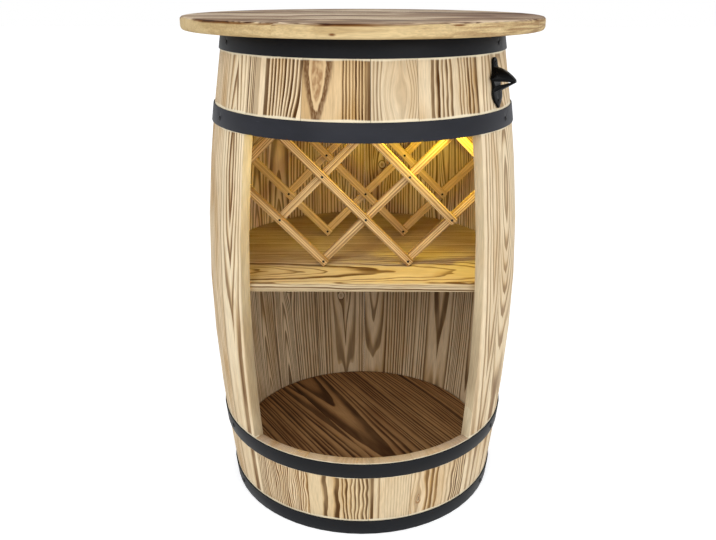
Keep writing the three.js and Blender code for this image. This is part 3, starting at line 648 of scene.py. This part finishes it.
chances = random.Random(7)
stave_start = front_edges[-1]
for number, width in enumerate(full_widths, 1):
    middle = stave_start + width / 2
    drawn = {
        "heart": middle + chances.uniform(-9, 9),
        "gap": chances.uniform(0.0045, 0.0075),
        "depth": chances.uniform(0.004, 0.03),
        "taper": chances.choice([-1, 1]) * chances.uniform(4, 12),
        "late": chances.uniform(0.3, 0.5),
        "burn": chances.uniform(0.7, 0.95),
        "toasting": chances.uniform(0.2, 0.5),
        "seed": chances.uniform(60, 200),
        "knots": [(chances.uniform(0.2, 0.65), middle + chances.uniform(-6, 6), 0.035, 0.014,
                   chances.uniform(0.006, 0.011), chances.uniform(0.004, 0.007), 0.0)],
    }
    figure = full_figures.get(number, drawn)
    wood = stave_material(f"full stave {number}", middle, figure)
    eased_copy(f"stave_{number:02d}", f"full_stave_{number:02d}", stave_ease, wood)
    stave_start += width


# Hoops
# Four bands of flat mild steel, rolled to the cone of the wall, lapped and riveted at the back,
# and painted dark charcoal. The paint is satin and a little uneven, with a painted sheen on the
# second band.
charcoal = (0.0050, 0.0056, 0.0072, 1)
# Painted sheen: the second band's paint is lighter and bluer to stand for light caught from above.
painted_sheen_charcoal = (0.0155, 0.0162, 0.0205, 1)
hoop_ease = 0.0003


def paint_material(name, colour, grain_scale, roughness, relief, shine=0.14):
    """Satin paint on metal: fine unevenness, small scuffs and paler dust."""
    material, tree, shader = new_material(name)
    here = object_place(tree)
    cloud = noise(tree, here, (9, 9, 30), 4.0, 3.0)
    grain = noise(tree, here, (grain_scale, grain_scale, grain_scale), 9.0, 2.0)
    scuff = noise(tree, here, (60, 60, 420), 15.0, 3.0)
    scuffs = ramp_up(tree, scuff, 0.66, 0.74)
    worn = tuple(min(1.0, 2.6 * part + 0.012) for part in colour[:3]) + (1,)
    faded = tuple(1.5 * part for part in colour[:3]) + (1,)
    shade = blend_colour(tree, ramp_up(tree, cloud, 0.35, 0.7), colour, faded)
    shade = blend_colour(tree, times(tree, scuffs, 0.35), shade, worn)
    rough = ramp_up(tree, cloud, 0.3, 0.7, roughness - 0.06, roughness + 0.06)
    rough = calc(tree, "MULTIPLY_ADD", scuffs, 0.1, rough)
    finish(tree, shader, shade, rough, grain, relief, 0.35, shine)
    return material


hoop_paint = paint_material("hoop paint", charcoal, 700, 0.5, 0.0002)
painted_sheen_paint = paint_material("hoop paint painted sheen", painted_sheen_charcoal, 700, 0.5, 0.0002)
for node in hoop_nodes:
    # The second band gets the paint with the painted sheen.
    paint = painted_sheen_paint if node == "hoop_upper" else hoop_paint
    eased_copy(node, node.replace("hoop_", "band_"), hoop_ease, paint)


# Screws
# Small black pan-head screws with a cross slot.
# There is one on each side of every hoop, and two hold the opener.
screw_black = (0.004, 0.004, 0.0045, 1)
screw_paint = paint_material("black screws", screw_black, 900, 0.5, 0.0001, shine=0.2)
head_radius = 0.0042
head_height = 0.0024
crown_round = 0.62 * head_height
slot_width = 0.0009
slot_length = 0.0046
slot_depth = 0.0013


def cross_slot_screw():
    """The screw's head with its cross slot, standing on the origin along Z."""
    bpy.ops.object.select_all(action="DESELECT")
    bpy.ops.mesh.primitive_cylinder_add(vertices=32, radius=head_radius, depth=head_height,
                                        location=(0, 0, head_height / 2))
    head = bpy.context.object
    round_corners(head, crown_round, 5)
    for turn in (0, math.pi / 2):
        bpy.ops.mesh.primitive_cube_add(size=1, location=(0, 0, head_height),
                                        rotation=(0, 0, turn))
        blade = bpy.context.object
        blade.scale = (slot_length, slot_width, 2 * slot_depth)
        bpy.ops.object.transform_apply(location=True, rotation=True, scale=True)
        cut = head.modifiers.new("slot", "BOOLEAN")
        cut.operation = "DIFFERENCE"
        cut.solver = "EXACT"
        cut.object = blade
        bpy.ops.object.select_all(action="DESELECT")
        head.select_set(True)
        bpy.context.view_layer.objects.active = head
        bpy.ops.object.modifier_apply(modifier=cut.name)
        bpy.data.objects.remove(blade)
    bpy.ops.object.shade_smooth_by_angle(angle=facet_angle)
    head.data.materials.append(screw_paint)
    return head


def screw_axis(node):
    """The seat of a screw's head and the way it points, from the ends of its CAD solid."""
    points = [vertex.co.copy() for vertex in frame["nodes"][node].data.vertices]
    tip = min(points, key=lambda point: math.hypot(point.x, point.y))
    crown = max(points, key=lambda point: math.hypot(point.x, point.y))
    pointing = (crown - tip).normalized()
    return crown - pointing * head_height, pointing


screw_model = cross_slot_screw()
screw_nodes = sorted(name for name in frame["nodes"] if "screw" in name)
for number, node in enumerate(screw_nodes):
    seat, pointing = screw_axis(node)
    screw = new_object(node.replace("_screw", "_slotted_screw"), screw_model.data.copy())
    spin = Matrix.Rotation(math.radians(37 * number), 4, "Z")
    turn = pointing.to_track_quat("Z", "Y").to_matrix().to_4x4()
    screw.data.transform(Matrix.Translation(seat) @ turn @ spin)
    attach(screw, "root")
    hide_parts(node)
bpy.data.objects.remove(screw_model)


# Bottle opener
# One iron casting painted black, with a soft skin from the sand mould.
# Two screws hold its plate to the wall.
cast_tone = (0.0006, 0.0006, 0.001, 1)
cast_ease = 0.0009
cast_black = paint_material("cast iron", cast_tone, 420, 0.36, 0.0006, shine=0.10)
eased_copy("bottle_opener", "cast_opener", cast_ease, cast_black, segments=3)


# Floor, cleats, battens and rail
# Plain softwood boards. The three of the floor are burnt brown and sit in the staves' groove.
# The others are out of sight, so they are sawn and left bare.
def board_wood(tree, turn, figure, tilt=0.0):
    """Softwood on a flat board that lies along X, once turned about Z and tilted about Y."""
    inputs = {"Vector": object_place(tree), "Rotation": (0, tilt, turn)}
    turned = add_node(tree, "Mapping", inputs).outputs[0]
    moved = wandered(tree, turned, figure, 0.008, 0.001)
    return place_group(tree, softwood, {
        "Vector": turned,
        "Moved": moved,
        "Heart across": figure.get("heart", 0.0),
        "Heart depth": figure.get("depth", 0.02),
        "Ring gap": figure["gap"],
        "Taper": figure.get("taper", 0.0),
        "Middle": figure.get("middle", 0.0),
        "Reach": figure.get("reach", 0.06),
        "Seed": figure["seed"],
        "Late wood": figure.get("late", 0.4),
        "Burn": figure.get("burn", 0.7),
        "Toasting": figure.get("toasting", 0.25),
        "Pale": figure["pale"],
        "Toast": figure["toast"],
        "Dark": figure["dark"],
    })


def board_material(name, turn, figure, relief=0.0004, tilt=0.0):
    """One board of one piece of softwood."""
    material, tree, shader = new_material(name)
    wood = board_wood(tree, turn, figure, tilt)
    finish(tree, shader, wood["Color"], wood["Roughness"], wood["Height"], relief)
    return material


floor_turn = math.radians(58)
floor_ease = 0.0008
sawn_ease = 0.0012
floor_tones = {"pale": (0.50, 0.285, 0.12, 1), "toast": (0.22, 0.095, 0.035, 1),
               "dark": (0.05, 0.02, 0.008, 1)}
for number, side in enumerate(("left", "middle", "right")):
    figure = {**floor_tones, "gap": 0.006, "seed": 70.0 + 3 * number, "burn": 0.9, "taper": 6,
              "toasting": 0.5, "depth": -0.01, "heart": 0.02 * number - 0.03, "wander": 0.02}
    wood = board_material(f"floor board {side}", floor_turn, figure)
    eased_copy(f"floor_board_{side}", f"burnt_floor_{side}", floor_ease, wood)

sawn = {"gap": 0.005, "seed": 90.0, "burn": 0.6, "pale": (0.60, 0.40, 0.20, 1),
        "toast": (0.45, 0.27, 0.12, 1), "dark": (0.24, 0.12, 0.05, 1)}
sawn_cross = board_material("sawn boards left to right", 0, sawn)
sawn_deep = board_material("sawn boards front to back", math.pi / 2, sawn)
for side in ("left", "right"):
    eased_copy(f"top_batten_{side}", f"sawn_batten_{side}", sawn_ease, sawn_deep)
    eased_copy(f"shelf_cleat_{side}", f"sawn_cleat_{side}", sawn_ease, sawn_deep)
eased_copy("shelf_cleat_back", "sawn_cleat_back", sawn_ease, sawn_cross)
eased_copy("rack_top_rail", "sawn_rack_rail", sawn_ease, sawn_cross)


# Shelf
# One wide softwood board with a flame figure, planed, scribed to the wall and rounded in front.
# It rests on the three cleats.
shelf_figure = {"gap": 0.003, "seed": 104.0, "pale": (0.60, 0.475, 0.295, 1),
                "toast": (0.37, 0.225, 0.09, 1), "dark": (0.10, 0.045, 0.015, 1), "burn": 1.0,
                "late": 0.26, "heart": -0.112, "depth": 0.3, "taper": 12, "middle": -0.045,
                "reach": 0.06, "wander": 0.014, "ripple": 0.003, "toasting": 0.35}
planed_ease = 0.0006
shelf_wood = board_material("planed shelf", 0, shelf_figure)
eased_copy("shelf", "planed_shelf", planed_ease, shelf_wood)


# Bottle racks
# Two layers of planed slats cross in a diamond grid, with a nail set into each crossing.
# The rear rack is the same grid, further in.
slat_tones = {"pale": (0.72, 0.51, 0.25, 1), "toast": (0.45, 0.25, 0.08, 1),
              "dark": (0.16, 0.065, 0.015, 1)}
slat_ease = 0.0008
slat_relief = 0.0002
shortest_line = 0.03   # a slat's end cuts are shorter


def slat_line(node):
    """The middle line of a slat in the plane of the rack: its direction, normal and offset."""
    mesh = frame["nodes"][node].data
    points = [vertex.co for vertex in mesh.vertices]
    edges = [points[edge.vertices[1]] - points[edge.vertices[0]] for edge in mesh.edges]
    found = []
    for edge in edges:
        if abs(edge.y) < weld_distance and edge.length > shortest_line:
            normal = Vector((-edge.z, 0, edge.x)).normalized()
            offsets = [point.dot(normal) for point in points]
            found.append((max(offsets) - min(offsets), min(offsets), normal, edge.normalized()))
    width, low, normal, longest = min(found, key=lambda each: each[0])
    return longest, normal, low + width / 2


def slat_material(name, longest, seed):
    """Planed yellow slat with fine straight grain."""
    figure = {**slat_tones, "gap": 0.0042, "seed": seed, "burn": 0.75, "late": 0.45,
              "depth": -0.03, "heart": 0.02, "wander": 0.004, "ripple": 0.0004, "toasting": 0.12}
    return board_material(name, 0, figure, slat_relief, math.atan2(longest.z, longest.x))


lines = {"falling": [], "rising": []}
tilts = {}
for layer, found in lines.items():
    for number in range(1, 5):
        node = f"rack_slat_{layer}_{number}"
        longest, normal, offset = slat_line(node)
        found.append((node, normal, offset))
        tilts.setdefault(layer, math.atan2(longest.z, longest.x))
        seed = 120.0 + 7 * number + (40 if layer == "rising" else 0)
        wood = slat_material(f"slat {layer} {number}", longest, seed)
        eased_copy(node, f"planed_slat_{layer}_{number}", slat_ease, wood)
rear_figure = {**slat_tones, "gap": 0.003, "seed": 131.0, "burn": 0.4, "depth": -0.03,
               "wander": 0.006, "toasting": 0.2}


def rear_rack_material(name, joints):
    """Falling slats, rising slats behind them and a rail behind those, each with its own grain."""
    material, tree, shader = new_material(name)
    depth = parts_of(tree, object_place(tree))[1]
    layers = (tilts["falling"], tilts["rising"], 0.0)
    woods = [board_wood(tree, 0, rear_figure, tilt) for tilt in layers]
    colour = woods[0]["Color"]
    for wood, joint in zip(woods[1:], joints):
        behind = ramp_up(tree, depth, joint - weld_distance, joint + weld_distance)
        colour = blend_colour(tree, behind, colour, wood["Color"])
    finish(tree, shader, colour, woods[0]["Roughness"], woods[0]["Height"], slat_relief)
    return material


rear_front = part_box("rear_rack")[0].y
slat_low, slat_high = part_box("rack_slat_falling_1")
slat_depth = slat_high.y - slat_low.y
fuse_depth = 0.0005     # how far the layers of the rear rack are let into each other
rear_joints = [rear_front + slat_depth - 2 * fuse_depth,
               rear_front + 2 * slat_depth - 3 * fuse_depth]
rear_wood = rear_rack_material("rear rack", rear_joints)
eased_copy("rear_rack", "planed_rear_rack", planed_ease, rear_wood)
nail_radius = 0.0021
nail_rise = 0.0003


def crossings():
    """The points where a falling slat covers a rising one, on the falling slat's front face."""
    found = []
    for falling, normal_a, offset_a in lines["falling"]:
        for rising, normal_b, offset_b in lines["rising"]:
            across = normal_a.x * normal_b.z - normal_a.z * normal_b.x
            x = (offset_a * normal_b.z - normal_a.z * offset_b) / across
            z = (normal_a.x * offset_b - offset_a * normal_b.x) / across
            boxes = [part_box(falling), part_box(rising)]
            if all(low.x < x < high.x and low.z < z < high.z for low, high in boxes):
                found.append(Vector((x, boxes[0][0].y, z)))
    return found


def nail_head():
    """A set nail: a shallow domed disc, facing -Y."""
    bpy.ops.object.select_all(action="DESELECT")
    bpy.ops.mesh.primitive_cylinder_add(vertices=20, radius=nail_radius, depth=4 * nail_rise,
                                        rotation=(math.pi / 2, 0, 0))
    head = bpy.context.object
    bpy.ops.object.transform_apply(location=True, rotation=True, scale=True)
    round_corners(head, nail_rise, 3)
    bpy.ops.object.shade_smooth_by_angle(angle=facet_angle)
    head.data.materials.append(screw_paint)
    return head


nail_model = nail_head()
for rack in ("front", "rear"):
    for number, point in enumerate(crossings(), 1):
        nail = new_object(f"nail_{rack}_{number}", nail_model.data.copy())
        depth = point.y if rack == "front" else rear_front
        nail.data.transform(Matrix.Translation((point.x, depth, point.z)))
        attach(nail, "root")
bpy.data.objects.remove(nail_model)


# Tabletop
# Edge-joined softwood boards, grain left to right, brushed and lightly toned.
# The rim is rounded, and the battens hold the boards together from below.
top_figures = [
    {"heart": -0.26, "gap": 0.0036, "seed": 150.0, "burn": 0.8, "taper": 0},
    {"heart": -0.20, "gap": 0.0042, "seed": 155.0, "burn": 0.8, "taper": 9},
    {"heart": -0.05, "gap": 0.0040, "seed": 159.0, "burn": 0.8, "taper": -8, "depth": 0.732},
    {"heart": 0.08, "gap": 0.0042, "seed": 163.0, "burn": 0.85, "taper": 7},
    {"heart": 0.22, "gap": 0.0038, "seed": 168.0, "burn": 0.85, "taper": -6},
]
top_heart_depth = 0.742
top_ease = 0.0007
top_pale = (0.97, 0.78, 0.555, 1)
top_shade = (0.32, 0.21, 0.135, 1)
top_toast = (0.26, 0.145, 0.065, 1)
top_dark = (0.060, 0.026, 0.009, 1)
rim_pale = (0.68, 0.51, 0.265, 1)
rim_shade = (0.50, 0.35, 0.165, 1)
rim_dark = (0.30, 0.17, 0.055, 1)
arris_tone = (0.36, 0.21, 0.10, 1)
mottled_tone = (0.62, 0.53, 0.49, 1)
rim_mark_tone = (0.30, 0.16, 0.10, 1)
# A knot and three short burnt streaks on the rounded rim, each with its place and its reach.
rim_marks = [
    ((-0.039, -0.284, 0.8065), (0.007, 0.02, 0.0028)),
    ((-0.047, -0.281, 0.8180), (0.013, 0.02, 0.0016)),
    ((0.125, -0.258, 0.8168), (0.014, 0.02, 0.0018)),
    ((-0.151, -0.243, 0.8188), (0.010, 0.02, 0.0014)),
]


def top_material(name, figure):
    """Toned and brushed above, with soft clouds of bare yellow wood on the rounded rim."""
    material, tree, shader = new_material(name)
    here = object_place(tree)
    moved = wandered(tree, here, figure, 0.02, 0.002)
    normal = parts_of(tree, add_node(tree, "TexCoord").outputs["Normal"])[2]
    broad = noise(tree, here, (3, 13, 50), figure["seed"], 2.0)
    fine = noise(tree, here, (12, 110, 190), figure["seed"] + 3.0, 2.0)
    tilt = calc(tree, "MULTIPLY_ADD", minus(tree, fine, 0.5), 0.9, normal)
    tilt = calc(tree, "MULTIPLY_ADD", minus(tree, broad, 0.5), 0.9, tilt)
    upper = ramp_up(tree, tilt, 0.45, 0.95)
    streaks = calc(tree, "MULTIPLY_ADD", minus(tree, fine, 0.5), 0.5, broad)
    shaded = ramp_up(tree, streaks, 0.4, 0.62)
    pale = blend_colour(tree, shaded, top_pale, top_shade)
    bare = blend_colour(tree, ramp_up(tree, streaks, 0.45, 0.68), rim_pale, rim_shade)
    wood = place_group(tree, softwood, {
        "Vector": here,
        "Moved": moved,
        "Heart across": figure["heart"],
        "Heart depth": figure.get("depth", top_heart_depth),
        "Ring gap": figure["gap"],
        "Taper": figure["taper"],
        "Reach": 0.05,
        "Seed": figure["seed"],
        "Late wood": 0.4,
        "Burn": times(tree, calc(tree, "MULTIPLY_ADD", upper, 0.92, 0.08), figure["burn"]),
        "Toasting": 0.4,
        "Pale": blend_colour(tree, upper, bare, pale),
        "Toast": blend_colour(tree, upper, rim_shade, top_toast),
        "Dark": blend_colour(tree, upper, rim_dark, top_dark),
    })
    rounded = ramp_up(tree, normal, 0.9, 0.99, 1.0, 0.0)
    arris = times(tree, ramp_up(tree, normal, 0.15, 0.5), rounded)
    arris = times(tree, arris, ramp_up(tree, broad, 0.5, 0.62))
    colour = blend_colour(tree, arris, wood["Color"], arris_tone, mode="MULTIPLY")
    mottle = ramp_up(tree, noise(tree, here, (13, 18, 320), 61.0, 3.0), 0.42, 0.6)
    mottle = times(tree, mottle, ramp_up(tree, parts_of(tree, here)[0], 0.02, 0.2))
    colour = blend_colour(tree, mottle, colour, mottled_tone, mode="MULTIPLY")
    for place, reach in rim_marks:
        offset = vector_calc(tree, "DIVIDE", vector_calc(tree, "SUBTRACT", here, place), reach)
        distance = add_node(tree, "VectorMath", {0: offset}, operation="LENGTH").outputs["Value"]
        mark = ramp_up(tree, calc(tree, "MULTIPLY_ADD", fine, 0.9, distance), 0.7, 1.5, 1.0, 0.0)
        colour = blend_colour(tree, mark, colour, rim_mark_tone, mode="MULTIPLY")
    height = times(tree, wood["Height"], calc(tree, "MULTIPLY_ADD", upper, 0.8, 0.2))
    finish(tree, shader, colour, wood["Roughness"], height, brushed_relief)
    return material


for number, figure in enumerate(top_figures, 1):
    wood = top_material(f"top board {number}", figure)
    eased_copy(f"top_board_{number}", f"brushed_top_{number}", top_ease, wood)


# Lamp
# A round battery lamp of white plastic, stuck to the wall behind the upper staves.
# Its warm light leaves it towards the barrel's middle.
lamp_glow = (1.0, 0.86, 0.09)
lamp_power = 2.0
lamp_white = (0.80, 0.78, 0.70, 1)
lamp_ease = 0.0006
glow_radius = 0.015
glow_distance = 0.02
lamp_material, lamp_tree, lamp_shader = new_material("lamp housing")
lamp_grain = noise(lamp_tree, object_place(lamp_tree), (900, 900, 900), 2.0)
finish(lamp_tree, lamp_shader, lamp_white, 0.4, lamp_grain, 0.0001, 0.2, shine=0.5)
eased_copy("lamp", "wall_lamp", lamp_ease, lamp_material, segments=3)
lamp_low, lamp_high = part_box("lamp")
lamp_middle = (lamp_low + lamp_high) / 2
inward = Vector((-lamp_middle.x, -lamp_middle.y, 0)).normalized()
glow_data = bpy.data.lights.new("lamp glow", "POINT")
glow_data.energy = lamp_power
glow_data.color = lamp_glow
glow_data.shadow_soft_size = glow_radius
glow = new_object("lamp glow", glow_data)
glow.location = lamp_middle + inward * glow_distance


# Studio
# A pale floor that keeps the cabinet's shadow, and a white surround.
# Two wide soft lights stand in front.
floor_size = 30
floor_white = (0.82, 0.82, 0.82, 1)
pure_white = (1, 1, 1, 1)
daylight = (0.95, 0.97, 1.0, 1)
floor_lift = 0.5
surround_strength = 0.78
light_aim = Vector((0, 0, 0.45))
bpy.ops.object.select_all(action="DESELECT")
bpy.ops.mesh.primitive_plane_add(size=floor_size, location=(0, 0, 0))
floor = bpy.context.object
floor.name = "studio_floor"
floor_material, floor_tree, floor_shader = new_material("studio floor")
fill(floor_tree, floor_shader.inputs, {"Base Color": floor_white, "Roughness": 0.9})
path = add_node(floor_tree, "LightPath").outputs
seen = calc(floor_tree, "MAXIMUM", path["Is Camera Ray"], path["Is Glossy Ray"])
lift = {"Color": pure_white, "Strength": times(floor_tree, seen, floor_lift)}
floor_light = add_node(floor_tree, "Emission", lift).outputs[0]
floor_sum = add_node(floor_tree, "AddShader", {0: floor_shader.outputs[0], 1: floor_light})
fill(floor_tree, floor_tree.nodes["Material Output"].inputs, {"Surface": floor_sum.outputs[0]})
floor.data.materials.append(floor_material)

world = bpy.data.worlds.new("surround")
world.use_nodes = True
bpy.context.scene.world = world
surround = world.node_tree
sky = surround.nodes["Background"]
fill(surround, sky.inputs, {"Color": daylight, "Strength": surround_strength})
white = add_node(surround, "Background", {"Color": pure_white, "Strength": 1.0})
path = add_node(surround, "LightPath").outputs
direct = calc(surround, "MAXIMUM", path["Is Camera Ray"], path["Is Transmission Ray"])
direct = calc(surround, "MAXIMUM", direct, path["Is Glossy Ray"])
choice = add_node(surround, "MixShader", {0: direct, 1: sky.outputs[0], 2: white.outputs[0]})
fill(surround, surround.nodes["World Output"].inputs, {"Surface": choice.outputs[0]})

lamps = [
    ("key light", (-0.9, -2.6, 1.9), 1.6, 27),
    ("fill light", (1.5, -2.2, 1.2), 1.6, 17),
]
for name, place, size, power in lamps:
    light_data = bpy.data.lights.new(name, "AREA")
    light_data.shape = "DISK"
    light_data.size = size
    light_data.energy = power
    light = new_object(name, light_data)
    light.location = place
    light.rotation_euler = (light_aim - Vector(place)).to_track_quat("-Z", "Y").to_euler()
